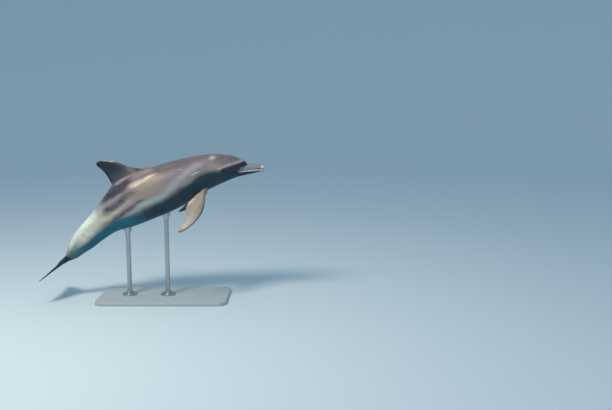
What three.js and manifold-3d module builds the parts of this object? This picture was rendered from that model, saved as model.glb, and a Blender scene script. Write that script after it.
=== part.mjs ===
// A life-size bottlenose dolphin, gliding upwards with its tail curled down, on a two-post display stand.
// Millimetres, +Z up. The origin is the centre of the stand's underside, and the head points to +X.
// The body is lofted along a bent spine, its fins are lofted foils, and the pieces are parted by thin cuts.
import * as THREE from "three";
import { mergeVertices } from "three/addons/utils/BufferGeometryUtils.js";
import Module from "manifold-3d";

const wasm = await Module();
wasm.setup();

// ---------- Driving dimensions ----------
const GAP = 0.3; // clearance between pieces that touch
const SPINE_STEP = 5; // length of one straight step of the spine
const BEAK_TIP = { x: 868, z: 1133 }; // where the spine starts
const BODY_END = 2010; // the spine's length, from the beak's tip to inside the tail flukes
const RING_POINTS = 32; // points round the body
const SMALL = 1e-3; // keeps the very tip of the beak and tail from closing to a point
const TIP_ROUNDING = 36; // length over which the beak's tip closes
const TAIL_ROUNDING = 60; // length over which the tail closes inside the flukes
const UPPER_SETBACK = 4; // how far the upper jaw ends behind the lower

// Stations along the spine, each a distance s behind the beak's tip. pitch is the nose-up angle in degrees,
// top and bottom are measured from the spine, half is the half width, level is the height of the widest
// line, and full is the section's fullness: 2 is an ellipse, less is keeled and more is boxy.
const BODY = [
  { s: 0, pitch: 5, top: 25, bottom: 27, half: 26, level: -4, full: 2.2 }, // beak tip
  { s: 40, pitch: 4.6, top: 30, bottom: 32, half: 31, level: -5, full: 2.3 },
  { s: 100, pitch: 4.2, top: 38, bottom: 43, half: 37, level: -6, full: 2.3 },
  { s: 150, pitch: 4, top: 44, bottom: 50, half: 45, level: -4, full: 2.2 }, // beak base
  { s: 220, pitch: 4.6, top: 60, bottom: 61, half: 61, level: 0, full: 2.1 },
  { s: 290, pitch: 5.8, top: 88, bottom: 78, half: 84, level: 6, full: 2.05 }, // corner of the mouth
  { s: 350, pitch: 7.5, top: 133, bottom: 96, half: 104, level: 10, full: 2.05 }, // eye
  { s: 440, pitch: 11.5, top: 158, bottom: 118, half: 125, level: 14, full: 2.05 }, // neck
  { s: 560, pitch: 18.2, top: 174, bottom: 143, half: 148, level: 12, full: 2.1 }, // flipper root
  { s: 700, pitch: 21.6, top: 196, bottom: 173, half: 169, level: 10, full: 2.1 },
  { s: 850, pitch: 22, top: 212, bottom: 191, half: 181, level: 8, full: 2.1 }, // greatest girth
  { s: 1000, pitch: 22.2, top: 222, bottom: 194, half: 180, level: 8, full: 2.05 },
  { s: 1150, pitch: 26.4, top: 222, bottom: 190, half: 167, level: 6, full: 2 }, // dorsal fin
  { s: 1300, pitch: 33.7, top: 190, bottom: 168, half: 141, level: 4, full: 1.9 },
  { s: 1420, pitch: 37.7, top: 146, bottom: 127, half: 111, level: 2, full: 1.8 },
  { s: 1560, pitch: 41.2, top: 120, bottom: 105, half: 80, level: 2, full: 1.72 }, // tail stock
  { s: 1700, pitch: 44.1, top: 105, bottom: 91, half: 56, level: 0, full: 1.7 },
  { s: 1790, pitch: 44.6, top: 84, bottom: 72, half: 45, level: 0, full: 1.75 },
  { s: 1860, pitch: 44, top: 53, bottom: 58, half: 40, level: 0, full: 1.85 },
  { s: 1905, pitch: 42.5, top: 29, bottom: 41, half: 38, level: 0, full: 1.95 }, // fluke root
  { s: 1945, pitch: 41, top: 16, bottom: 22, half: 36, level: 0, full: 2 },
  { s: 2010, pitch: 40, top: 13, bottom: 13, half: 22, level: 0, full: 2 },
];

// The melon is a sheared ellipsoid over the beak's base. Its front leans back towards the cheek.
const MELON = { s: 420, n: 22, long: 277, tall: 113, wide: 112, lean: 0.28, blend: 7 };

// The line between the jaws, and behind its corner the cut that parts the lower jaw from the throat.
const MOUTH = [
  { s: -20, n: -3 },
  { s: 45, n: -8 },
  { s: 120, n: -9 },
  { s: 200, n: -9 },
  { s: 262, n: -17 },
  { s: 312, n: -12 },
];
const MOUTH_CUT = 1.2;
const THROAT_CUT = { s: 345, n: -150 };
const CREASE_CUT = { low: { s: 207, n: 0 }, high: { s: 112, n: 110 } };

const EYE = { s: 342, n: 9, radius: 17, stands_out: 6 };

// Cuts across the spine: the neck, the waist and the root of the tail.
const NECK = 440;
const WAIST = 900;
const TAIL_ROOT = 1340;

// Fin sections from root to tip. lead and trail are the edges, each as [aft, out], and thick is the
// greatest thickness. A fin's own frame says where aft, out and its faces point.
const DORSAL_FIN = [
  { t: 0, lead_aft: -225, lead_out: -45, trail_aft: 104, trail_out: -70, thick: 74 },
  { t: 0.14, lead_aft: -166, lead_out: 10, trail_aft: 105, trail_out: 0, thick: 54 },
  { t: 0.3, lead_aft: -104, lead_out: 62, trail_aft: 103, trail_out: 45, thick: 42 },
  { t: 0.5, lead_aft: -54, lead_out: 120, trail_aft: 107, trail_out: 90, thick: 34 },
  { t: 0.7, lead_aft: -4, lead_out: 167, trail_aft: 116, trail_out: 130, thick: 26 },
  { t: 0.86, lead_aft: 54, lead_out: 205, trail_aft: 128, trail_out: 166, thick: 17 },
  { t: 0.95, lead_aft: 104, lead_out: 222, trail_aft: 141, trail_out: 194, thick: 9 },
  { t: 1, lead_aft: 136, lead_out: 219, trail_aft: 144, trail_out: 211, thick: 4 },
];
const FLIPPER = [
  { t: 0, lead_aft: -36, lead_out: -100, trail_aft: 4, trail_out: -96, thick: 44 },
  { t: 0.14, lead_aft: -56, lead_out: -18, trail_aft: 14, trail_out: -8, thick: 40 },
  { t: 0.28, lead_aft: -84, lead_out: 40, trail_aft: 28, trail_out: 46, thick: 34 },
  { t: 0.43, lead_aft: -102, lead_out: 105, trail_aft: 44, trail_out: 108, thick: 28 },
  { t: 0.55, lead_aft: -105, lead_out: 150, trail_aft: 39, trail_out: 148, thick: 23 },
  { t: 0.68, lead_aft: -97, lead_out: 206, trail_aft: 11, trail_out: 193, thick: 18 },
  { t: 0.8, lead_aft: -80, lead_out: 262, trail_aft: -3, trail_out: 244, thick: 14 },
  { t: 0.9, lead_aft: -53, lead_out: 320, trail_aft: -6, trail_out: 296, thick: 10 },
  { t: 0.97, lead_aft: -25, lead_out: 355, trail_aft: -4, trail_out: 338, thick: 6 },
  { t: 1, lead_aft: -6, lead_out: 366, trail_aft: -1, trail_out: 360, thick: 4 },
];
const FLUKE = [
  { t: 0, lead_aft: -12, lead_out: 0, trail_aft: 205, trail_out: 0, thick: 30 },
  { t: 0.1, lead_aft: 0, lead_out: 22, trail_aft: 220, trail_out: 14, thick: 28 },
  { t: 0.24, lead_aft: 38, lead_out: 54, trail_aft: 228, trail_out: 48, thick: 23 },
  { t: 0.42, lead_aft: 84, lead_out: 106, trail_aft: 226, trail_out: 100, thick: 18 },
  { t: 0.6, lead_aft: 126, lead_out: 158, trail_aft: 227, trail_out: 150, thick: 14 },
  { t: 0.8, lead_aft: 174, lead_out: 210, trail_aft: 237, trail_out: 204, thick: 10 },
  { t: 0.93, lead_aft: 214, lead_out: 240, trail_aft: 250, trail_out: 238, thick: 6 },
  { t: 1, lead_aft: 246, lead_out: 252, trail_aft: 256, trail_out: 250, thick: 4 },
];
const EDGE = 2.4; // thickness of a fin's trailing edge
const FIN_POINTS = 18; // points round a fin's section

// Where the fins stand. The dorsal fin's zero is on the back, the flukes' is in the spine.
const DORSAL_AT = { s: 1150, n: 221 };
const FLUKES_AT = { s: 1895, n: -4, pitch: 40.6 };
// Each flipper's root, and the ways of its span and chord as [towards the tail, down, outwards].
const FLIPPER_RIGHT = {
  side: -1,
  root: { s: 602, n: -139, y: 98 },
  span: [0.69, 0.6, 0.4],
  chord: [0.99, 0, 0.1],
};
const FLIPPER_LEFT = {
  side: 1,
  root: { s: 590, n: -112, y: 100 },
  span: [0.82, 0.38, 0.43],
  chord: [0.98, 0.1, 0.1],
};

// The stand.
const BASE = { length: 1100, width: 560, thick: 30, corner: 70, bevel: 3 };
const POST_RADIUS = 19;
const POSTS = [
  { name: "front", x: 30 },
  { name: "rear", x: -300 },
];
const FLANGE = { radius: 62, thick: 12, collar: 30, height: 34, edge: 2 };
// A cup flares from the post's top up into the belly. depth is how far its foot is below the belly.
const CUP = { foot: 22, neck: 24, neck_height: 12, radius: 34, flare_height: 40, depth: 50, inside: 60 };

// ---------- Colours ----------
const finish = (color, roughness, metalness = 0) =>
  new THREE.MeshStandardMaterial({ color, roughness, metalness });
const SKIN = finish(0x85818a, 0.5);
const BEAK_SKIN = finish(0xa39fa3, 0.5);
const JAW_SKIN = finish(0x8b9a9e, 0.5);
const TAIL_SKIN = finish(0x9a9f9b, 0.5);
const FIN_SKIN = finish(0x4d545c, 0.5);
const FLIPPER_SKIN = finish(0xaaa399, 0.5);
const EYEBALL = finish(0x17120f, 0.1);
const PLINTH = finish(0xb9bcbc, 0.6);
const STEEL = finish(0xb4b6b8, 0.35, 1);

// ---------- Tables and the spine ----------
// Smooth values between a table's rows: a cubic that never overshoots a row.
function between(rows, key, x) {
  const last = rows.length - 1;
  const i = Math.min(Math.max(rows.findIndex((row) => row[key] > x) - 1, 0), last - 1);
  const at = x >= rows[last][key] ? last - 1 : i;
  const span = (k) => rows[k + 1][key] - rows[k][key];
  const u = Math.min(Math.max((x - rows[at][key]) / span(at), 0), 1);
  const out = {};
  for (const name of Object.keys(rows[0])) {
    const rise = (k) => (rows[k + 1][name] - rows[k][name]) / span(k);
    const slope = (k) => {
      if (k === 0) return rise(0);
      if (k === last) return rise(last - 1);
      const [a, b] = [rise(k - 1), rise(k)];
      if (a * b <= 0) return 0;
      const even = (a * span(k) + b * span(k - 1)) / (span(k) + span(k - 1));
      return Math.sign(even) * Math.min(Math.abs(even), 3 * Math.abs(a), 3 * Math.abs(b));
    };
    const [m0, m1] = [slope(at) * span(at), slope(at + 1) * span(at)];
    const [p0, p1] = [rows[at][name], rows[at + 1][name]];
    const [u2, u3] = [u * u, u * u * u];
    out[name] =
      p0 * (2 * u3 - 3 * u2 + 1) + m0 * (u3 - 2 * u2 + u) + p1 * (3 * u2 - 2 * u3) + m1 * (u3 - u2);
  }
  return out;
}

const radians = THREE.MathUtils.degToRad;
const pitchAt = (s) => radians(between(BODY, "s", s).pitch);

const spine = [{ x: BEAK_TIP.x, z: BEAK_TIP.z }];
for (let s = 0; s < BODY_END + 200; s += SPINE_STEP) {
  const middle = pitchAt(s + SPINE_STEP / 2);
  const { x, z } = spine[spine.length - 1];
  spine.push({ x: x - SPINE_STEP * Math.cos(middle), z: z - SPINE_STEP * Math.sin(middle) });
}

// The point at height n over the spine and y to the left of it.
function place(s, n, y = 0, pitch = pitchAt(s)) {
  const k = Math.max(Math.floor(s / SPINE_STEP), 0);
  const u = s / SPINE_STEP - k;
  const x = spine[k].x + u * (spine[k + 1].x - spine[k].x);
  const z = spine[k].z + u * (spine[k + 1].z - spine[k].z);
  return new THREE.Vector3(x - n * Math.sin(pitch), y, z + n * Math.cos(pitch));
}

// ---------- The body's sections ----------
const roundEnd = (distance, length) =>
  distance >= length ? 1 : Math.sqrt(Math.max(1 - (1 - Math.max(distance, 0) / length) ** 2, 0));

// The larger of two values, with the corner between them rounded off.
function smoothMax(a, b, blend) {
  const near = Math.max(blend - Math.abs(a - b), 0);
  return Math.max(a, b) + near ** 2 / (4 * blend);
}

// How far the melon reaches at s, from a centre at height level, in the direction of cy and cn.
function melonReach(s, level, cy, cn) {
  const offset = level - MELON.n;
  const along = s - MELON.s + MELON.lean * offset;
  const [l2, t2, w2] = [MELON.long ** 2, MELON.tall ** 2, MELON.wide ** 2];
  const a = (MELON.lean * cn) ** 2 / l2 + cn ** 2 / t2 + cy ** 2 / w2;
  const b = (along * MELON.lean * cn) / l2 + (offset * cn) / t2;
  const c = along ** 2 / l2 + offset ** 2 / t2 - 1;
  const inside = b * b - a * c;
  return inside <= 0 ? 0 : Math.max((Math.sqrt(inside) - b) / a, 0);
}

// One point of the body's surface. turn goes round from the left side over the back.
function bodyPoint(s, turn, grow = 0) {
  const row = between(BODY, "s", s);
  const upper = Math.sin(turn) > 0;
  const setback = upper ? UPPER_SETBACK * Math.min(Math.sin(turn) * 3, 1) : 0;
  const close = roundEnd(s - setback, TIP_ROUNDING) * roundEnd(BODY_END - s, TAIL_ROUNDING);
  const half = row.half * close + SMALL;
  const tall = (upper ? row.top - row.level : row.bottom + row.level) * close + SMALL;
  const direction = new THREE.Vector2(half * Math.cos(turn), tall * Math.sin(turn)).normalize();
  const [cy, cn] = [direction.x, direction.y];
  const oval = (Math.abs(cy / half) ** row.full + Math.abs(cn / tall) ** row.full) ** (-1 / row.full);
  const reach = smoothMax(oval, melonReach(s, row.level, cy, cn), MELON.blend) + grow;
  return place(s, row.level + reach * cn, reach * cy);
}

function bodyRing(s, grow = 0) {
  const turns = Array.from({ length: RING_POINTS }, (_, k) => (k / RING_POINTS) * 2 * Math.PI);
  return turns.map((turn) => bodyPoint(s, turn, grow));
}

// ---------- Closed surfaces and solids ----------
// A closed surface through rings of points, with a flat fan over each end.
function loft(rings) {
  const size = rings[0].length;
  const points = rings.flat();
  const centre = (ring) => ring.reduce((sum, p) => sum.add(p), new THREE.Vector3()).divideScalar(size);
  points.push(centre(rings[0]), centre(rings[rings.length - 1]));
  const faces = [];
  const end = rings.length - 1;
  for (let k = 0; k < size; k++) {
    const next = (k + 1) % size;
    for (let r = 0; r < end; r++) {
      const [a, b, c, d] = [r * size + k, r * size + next, (r + 1) * size + next, (r + 1) * size + k];
      faces.push(a, b, c, a, c, d);
    }
    faces.push(points.length - 2, next, k);
    faces.push(points.length - 1, end * size + k, end * size + next);
  }
  const surface = new THREE.BufferGeometry().setFromPoints(points);
  surface.setIndex(faces);
  return surface;
}

// A solid from a closed surface, turned the right way out.
function solid(surface) {
  surface.deleteAttribute("normal");
  surface.deleteAttribute("uv");
  const merged = mergeVertices(surface, 1e-4);
  const build = (corners) =>
    new wasm.Manifold(
      new wasm.Mesh({
        numProp: 3,
        vertProperties: new Float32Array(merged.attributes.position.array),
        triVerts: new Uint32Array(corners),
      }),
    );
  const corners = Array.from(merged.index.array);
  const made = build(corners);
  return made.volume() > 0 ? made : build(corners.reverse());
}

const model = new THREE.Group();

function piece(name, made, material) {
  const mesh = made.getMesh();
  const points = new Float32Array(mesh.numVert * 3);
  for (let k = 0; k < mesh.numVert; k++) {
    points.set(mesh.vertProperties.subarray(k * mesh.numProp, k * mesh.numProp + 3), k * 3);
  }
  const surface = new THREE.BufferGeometry();
  surface.setAttribute("position", new THREE.BufferAttribute(points, 3));
  surface.setIndex(new THREE.BufferAttribute(new Uint32Array(mesh.triVerts), 1));
  surface.computeVertexNormals();
  const node = new THREE.Mesh(surface, material);
  node.name = name;
  model.add(node);
}

// Distances from one to another, closer together at the start when ease is over 1.
const steps = (from, to, count, ease = 1) =>
  Array.from({ length: count + 1 }, (_, k) => from + (to - from) * (k / count) ** ease);

const bodyBetween = (distances, grow = 0) => solid(loft(distances.map((s) => bodyRing(s, grow))));

// A cut through the body from side to side, along a line of points on the middle plane.
function sideCut(line, width) {
  const shift = (p, k) => {
    const before = line[Math.max(k - 1, 0)];
    const after = line[Math.min(k + 1, line.length - 1)];
    const normal = new THREE.Vector3().subVectors(after, before).normalize();
    return new THREE.Vector3(-normal.z, 0, normal.x).multiplyScalar(width / 2);
  };
  const [reach, rings] = [400, []];
  line.forEach((p, k) => {
    const [up, down] = [p.clone().add(shift(p, k)), p.clone().sub(shift(p, k))];
    const corner = (q, y) => new THREE.Vector3(q.x, y, q.z);
    rings.push([corner(up, -reach), corner(up, reach), corner(down, reach), corner(down, -reach)]);
  });
  return solid(loft(rings));
}

// ---------- Head ----------
const headSteps = [
  ...steps(0.4, 40, 6, 2),
  ...steps(54, 124, 4),
  ...steps(134, 180, 6),
  ...steps(198, NECK - GAP / 2, 9),
];
const headWhole = bodyBetween(headSteps);

// The body's half width at height n of the section at s.
function halfWidth(s, n) {
  const row = between(BODY, "s", s);
  const height = n > row.level ? row.top - row.level : row.bottom + row.level;
  return row.half * (1 - Math.abs((n - row.level) / height) ** row.full) ** (1 / row.full);
}

const eyeCentre = (side) =>
  place(EYE.s, EYE.n, side * (halfWidth(EYE.s, EYE.n) + EYE.stands_out - EYE.radius));

function ball(centre, radius) {
  const surface = new THREE.SphereGeometry(radius, 12, 8);
  surface.translate(centre.x, centre.y, centre.z);
  return solid(surface);
}

function makeHead() {
  const mouth = steps(MOUTH[0].s, 312, 12).map((s) => place(s, between(MOUTH, "s", s).n));
  mouth[0].x += 30;
  const jawCut = sideCut([...mouth, place(THROAT_CUT.s, THROAT_CUT.n)], MOUTH_CUT);
  const { low, high } = CREASE_CUT;
  const foot = { s: low.s, n: between(MOUTH, "s", low.s).n };
  const creaseLine = [foot, low, high].map((p) => place(p.s, p.n));
  let rest = headWhole.subtract(jawCut).subtract(sideCut(creaseLine, GAP));
  for (const side of [-1, 1]) rest = rest.subtract(ball(eyeCentre(side), EYE.radius + GAP));
  const parts = rest.decompose().sort((a, b) => b.volume() - a.volume());
  const [head, ...jaws] = parts.slice(0, 3);
  jaws.sort((a, b) => a.boundingBox().min[2] - b.boundingBox().min[2]);
  piece("head", head, SKIN);
  piece("lower_jaw", jaws[0], JAW_SKIN);
  piece("upper_beak", jaws[1], BEAK_SKIN);
  for (const [name, side] of [["eye_right", -1], ["eye_left", 1]]) {
    piece(name, ball(eyeCentre(side), EYE.radius), EYEBALL);
  }
}

// ---------- Fins ----------
// Half thickness of a foil at a share c of its chord, for a greatest thickness of 1.
const foil = (c) =>
  5 * (0.2969 * Math.sqrt(c) - 0.126 * c - 0.3516 * c ** 2 + 0.2843 * c ** 3 - 0.1036 * c ** 4);

// A fin's solid. toSpace turns [aft, out, off its middle plane] into a point.
function fin(rows, sections, toSpace) {
  const half = FIN_POINTS / 2;
  const rings = steps(0, 1, sections).map((t) => {
    const row = between(rows, "t", t);
    return Array.from({ length: FIN_POINTS }, (_, k) => {
      const face = k < half ? 1 : -1;
      const c = (1 - Math.cos((Math.PI * (k < half ? k + 0.5 : FIN_POINTS - k - 0.5)) / half)) / 2;
      const off = face * (row.thick * foil(c) + (EDGE / 2) * c);
      const aft = row.lead_aft + c * (row.trail_aft - row.lead_aft);
      const out = row.lead_out + c * (row.trail_out - row.lead_out);
      return toSpace(aft, out, off);
    });
  });
  return solid(loft(rings));
}

function dorsalToSpace(aft, out, off) {
  const pitch = pitchAt(DORSAL_AT.s);
  const from = place(DORSAL_AT.s, DORSAL_AT.n + out);
  return new THREE.Vector3(from.x - aft * Math.cos(pitch), off, from.z - aft * Math.sin(pitch));
}

const flukeToSpace = (side) => (aft, out, off) => {
  const pitch = radians(FLUKES_AT.pitch);
  const from = place(FLUKES_AT.s, FLUKES_AT.n + off, side * (out + GAP / 2), pitch);
  return new THREE.Vector3(from.x - aft * Math.cos(pitch), from.y, from.z - aft * Math.sin(pitch));
};

function flipperToSpace({ side, root, span, chord }) {
  const pitch = pitchAt(root.s);
  const tailward = new THREE.Vector3(-Math.cos(pitch), 0, -Math.sin(pitch));
  const down = new THREE.Vector3(Math.sin(pitch), 0, -Math.cos(pitch));
  const outward = new THREE.Vector3(0, side, 0);
  const mix = ([a, b, c]) =>
    new THREE.Vector3().addScaledVector(tailward, a).addScaledVector(down, b).addScaledVector(outward, c);
  const along = mix(span).normalize();
  const across = mix(chord);
  across.addScaledVector(along, -across.dot(along)).normalize();
  const face = new THREE.Vector3().crossVectors(along, across);
  const from = place(root.s, root.n, side * root.y);
  return (aft, out, off) =>
    from.clone().addScaledVector(across, aft).addScaledVector(along, out).addScaledVector(face, off);
}

// ---------- Trunk, tail and fins ----------
const chestSteps = steps(NECK, WAIST, 9);
const waistSteps = steps(WAIST, TAIL_ROOT, 9);
const tailSteps = [...steps(TAIL_ROOT, 1960, 11), ...steps(1985, BODY_END - 0.5, 2)];

function makeBody() {
  const short = (distances) => [...distances.slice(0, -1), distances[distances.length - 1] - GAP];
  piece("chest", bodyBetween([NECK + GAP / 2, ...short(chestSteps).slice(1)]), SKIN);
  piece("abdomen", bodyBetween(short(waistSteps)), SKIN);
  piece("tail_stock", bodyBetween(tailSteps), TAIL_SKIN);
}

const allSteps = [headSteps.slice(0, -1), chestSteps, waistSteps.slice(1), tailSteps.slice(1)].flat();
const grownBody = bodyBetween(allSteps, GAP);

const largest = (made) => made.decompose().sort((a, b) => b.volume() - a.volume())[0];

function makeFins() {
  const outside = (made) => largest(made.subtract(grownBody));
  piece("dorsal_fin", outside(fin(DORSAL_FIN, 11, dorsalToSpace)), FIN_SKIN);
  piece("flipper_right", outside(fin(FLIPPER, 12, flipperToSpace(FLIPPER_RIGHT))), FLIPPER_SKIN);
  piece("flipper_left", outside(fin(FLIPPER, 12, flipperToSpace(FLIPPER_LEFT))), FLIPPER_SKIN);
  piece("fluke_right", outside(fin(FLUKE, 11, flukeToSpace(-1))), FIN_SKIN);
  piece("fluke_left", outside(fin(FLUKE, 11, flukeToSpace(1))), FIN_SKIN);
}

// ---------- Stand ----------
function roundedPlate({ length, width, thick, corner, bevel }) {
  const [x, y] = [length / 2 - bevel, width / 2 - bevel];
  const outline = new THREE.Shape();
  const arc = (cx, cy, quarter) =>
    outline.absarc(cx, cy, corner, (quarter * Math.PI) / 2, ((quarter + 1) * Math.PI) / 2);
  arc(x - corner, y - corner, 0);
  arc(corner - x, y - corner, 1);
  arc(corner - x, corner - y, 2);
  arc(x - corner, corner - y, 3);
  const settings = { depth: thick - 2 * bevel, bevelSize: bevel, bevelThickness: bevel, bevelSegments: 1 };
  const plate = new THREE.ExtrudeGeometry(outline, { ...settings, curveSegments: 4 });
  return plate.translate(0, 0, bevel);
}

// A turned part round a vertical axis, from [radius, height] pairs that start and end on the axis.
const turned = (profile, x, height, around) =>
  new THREE.LatheGeometry(profile.map(([r, h]) => new THREE.Vector2(r, h)), around)
    .rotateX(Math.PI / 2)
    .translate(x, 0, height);

function flangeProfile() {
  const { radius, thick, collar, height, edge } = FLANGE;
  return [
    [0, 0],
    [radius, 0],
    [radius, thick - edge],
    [radius - edge, thick],
    [collar + edge, thick],
    [collar, thick + edge],
    [collar, height - edge],
    [collar - edge, height],
    [0, height],
  ];
}

const postProfile = (length) => [
  [0, 0],
  [POST_RADIUS, 0],
  [POST_RADIUS, length],
  [0, length],
];

const cupProfile = () => [
  [0, 0],
  [CUP.foot, 0],
  [CUP.neck, CUP.neck_height],
  [CUP.radius, CUP.flare_height],
  [CUP.radius, CUP.depth + CUP.inside],
  [0, CUP.depth + CUP.inside],
];

const lowest = (made) =>
  made.decompose().sort((a, b) => a.boundingBox().min[2] - b.boundingBox().min[2])[0];

function makeStand() {
  piece("stand_base", solid(roundedPlate(BASE)), PLINTH);
  for (const { name, x } of POSTS) {
    const flangeFoot = BASE.thick + GAP;
    const postFoot = flangeFoot + FLANGE.height + GAP;
    const cupFoot = bellyHeight(x) - CUP.depth;
    const postLength = cupFoot - GAP - postFoot;
    piece("stand_flange_" + name, solid(turned(flangeProfile(), x, flangeFoot, 20)), STEEL);
    piece("stand_post_" + name, solid(turned(postProfile(postLength), x, postFoot, 20)), STEEL);
    const cup = solid(turned(cupProfile(), x, cupFoot, 24)).subtract(grownBody);
    piece("stand_cup_" + name, lowest(cup), STEEL);
  }
}

// The height of the belly over a point of the floor on the middle line.
function bellyHeight(x) {
  const distance = steps(300, 1500, 600).find((s) => bodyPoint(s, -Math.PI / 2).x <= x);
  return bodyPoint(distance, -Math.PI / 2).z;
}

makeHead();
makeBody();
makeFins();
makeStand();

export default model;
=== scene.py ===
"""A life-size bottlenose dolphin on a two-post display stand.

The body is measured along its spine: s is the distance behind the beak's tip, n the height over the
spine and y the distance to the left, all in millimetres. Blender's own lengths are metres.
"""
import math

import bmesh
import bpy
import numpy as np
from mathutils import Matrix, Vector, kdtree, noise


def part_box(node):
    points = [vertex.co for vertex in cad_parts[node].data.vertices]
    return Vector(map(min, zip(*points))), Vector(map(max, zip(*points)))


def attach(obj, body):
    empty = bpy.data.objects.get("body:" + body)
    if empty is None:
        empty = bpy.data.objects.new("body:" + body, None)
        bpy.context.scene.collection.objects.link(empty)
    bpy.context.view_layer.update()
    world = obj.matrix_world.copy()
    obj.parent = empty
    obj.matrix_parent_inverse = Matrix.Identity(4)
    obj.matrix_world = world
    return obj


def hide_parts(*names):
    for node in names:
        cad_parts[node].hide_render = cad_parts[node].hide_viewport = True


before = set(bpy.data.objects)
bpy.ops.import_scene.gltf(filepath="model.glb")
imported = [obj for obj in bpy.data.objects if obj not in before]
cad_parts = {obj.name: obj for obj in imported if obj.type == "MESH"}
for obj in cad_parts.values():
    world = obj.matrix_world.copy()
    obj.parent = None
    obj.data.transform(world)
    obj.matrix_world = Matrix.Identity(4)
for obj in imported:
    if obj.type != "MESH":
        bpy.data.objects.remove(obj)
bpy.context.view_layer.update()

MM = 0.001


class Curve:
    """Smooth values between a table's rows, on a cubic that never overshoots a row."""

    def __init__(self, *rows):
        table = np.array(rows, float)
        self.x, self.y = table[:, 0], table[:, 1:]
        self.span = np.diff(self.x)
        rise = np.diff(self.y, axis=0) / self.span[:, None]
        before, after = rise[:-1], rise[1:]
        near, far = self.span[:-1, None], self.span[1:, None]
        even = (before * far + after * near) / (near + far)
        steepest = 3 * np.minimum(abs(before), abs(after))
        inner = np.where(before * after > 0, np.sign(even) * np.minimum(abs(even), steepest), 0)
        self.slope = np.vstack([rise[:1], inner, rise[-1:]])

    def __call__(self, at):
        at = np.asarray(at, float)
        k = np.clip(np.searchsorted(self.x, at, side="right") - 1, 0, len(self.span) - 1)
        u = np.clip((at - self.x[k]) / self.span[k], 0, 1)[..., None]
        span = self.span[k][..., None]
        bend = self.slope[k] * (u**3 - 2 * u**2 + u) + self.slope[k + 1] * (u**3 - u**2)
        value = self.y[k] + (self.y[k + 1] - self.y[k]) * (3 * u**2 - 2 * u**3) + span * bend
        return np.moveaxis(value, -1, 0)


# ---------- The body's sizes, in millimetres and degrees ----------
BEAK_TIP = (868, 1133)  # x and z
BODY_END = 2010
TIP_ROUNDING = 36
TAIL_ROUNDING = 60

# s, pitch nose up, top and bottom from the spine, half width, height of the widest line, fullness
BODY = Curve(
    (0, 5, 25, 27, 26, -4, 2.2),
    (40, 4.6, 30, 32, 31, -5, 2.3),
    (100, 4.2, 38, 43, 37, -6, 2.3),
    (150, 4, 44, 50, 45, -4, 2.2),
    (220, 4.6, 60, 61, 61, 0, 2.1),
    (290, 5.8, 104, 78, 84, 6, 2.05),
    (350, 7.5, 134, 96, 104, 10, 2.05),
    (440, 11.5, 157, 118, 125, 14, 2.05),
    (560, 18.2, 174, 143, 148, 12, 2.1),
    (700, 21.6, 196, 173, 169, 10, 2.1),
    (850, 22, 212, 191, 181, 8, 2.1),
    (1000, 22.2, 222, 194, 180, 8, 2.05),
    (1150, 26.4, 222, 190, 167, 6, 2),
    (1300, 33.7, 190, 168, 141, 4, 1.9),
    (1420, 37.7, 146, 127, 111, 2, 1.8),
    (1560, 41.2, 120, 105, 80, 2, 1.72),
    (1700, 44.1, 105, 91, 56, 0, 1.7),
    (1790, 44.6, 84, 72, 45, 0, 1.75),
    (1860, 44, 53, 58, 40, 0, 1.85),
    (1905, 42.5, 29, 41, 38, 0, 1.95),
    (1945, 41, 16, 22, 36, 0, 2),
    (2010, 40, 13, 13, 22, 0, 2),
)
MELON = dict(s=420, n=22, long=277, tall=113, wide=112, lean=0.28)
MELON_DROOP = Curve((0, 0), (120, 4), (160, 9), (192, 12), (222, 9), (250, 4), (280, 0), (2100, 0))
MELON_BLEND = Curve((0, 5), (270, 5), (335, 15), (2100, 15))  # how softly it meets the trunk, at s

# The height of the mouth's line at s. It ends at the corner, which turns up.
MOUTH = Curve((-20, -3), (45, -8), (120, -9), (200, -9), (262, -17), (312, -12), (360, -6))
MOUTH_CORNER = 306

EYE = dict(s=342, n=9, radius=17, stands_out=3.6, slit_long=13, slit_tall=7, tilt=8, lid=1.4)
BLOWHOLE = dict(s=424, half_width=21, bow=9, depth=4.2)
EAR = dict(s=402, n=-6)
NAVEL_S = 1010
VENT_S = (1310, 1412)  # from its front to its back end

# ---------- Fins: t, leading edge aft and out, trailing edge aft and out, thickness ----------
DORSAL_FIN = Curve(
    (0, -225, -45, 104, -70, 74),
    (0.14, -166, 10, 105, 0, 54),
    (0.3, -104, 62, 103, 45, 42),
    (0.5, -54, 120, 107, 90, 34),
    (0.7, -4, 167, 116, 130, 26),
    (0.86, 54, 205, 128, 166, 17),
    (0.95, 104, 222, 141, 194, 9),
    (1, 136, 219, 144, 211, 4),
)
FLIPPER = Curve(
    (0, -36, -100, 4, -96, 44),
    (0.14, -56, -18, 14, -8, 40),
    (0.28, -84, 40, 28, 46, 34),
    (0.43, -102, 105, 44, 108, 28),
    (0.55, -105, 150, 39, 148, 23),
    (0.68, -97, 206, 11, 193, 18),
    (0.8, -80, 262, -3, 244, 14),
    (0.9, -53, 320, -6, 296, 10),
    (0.97, -25, 355, -4, 338, 6),
    (1, -6, 366, -1, 360, 4),
)
FLUKE = Curve(
    (0, -12, 0, 205, 0, 30),
    (0.1, 0, 22, 220, 14, 28),
    (0.24, 38, 54, 228, 48, 23),
    (0.42, 84, 106, 226, 100, 18),
    (0.6, 126, 158, 227, 150, 14),
    (0.8, 174, 210, 237, 204, 10),
    (0.93, 214, 240, 250, 238, 6),
    (1, 246, 252, 256, 250, 4),
)
EDGE = 2.0  # thickness of a fin's trailing edge
DORSAL_AT = dict(s=1150, n=221)
FLUKES_AT = dict(s=1895, n=-4, pitch=40.6)
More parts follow.
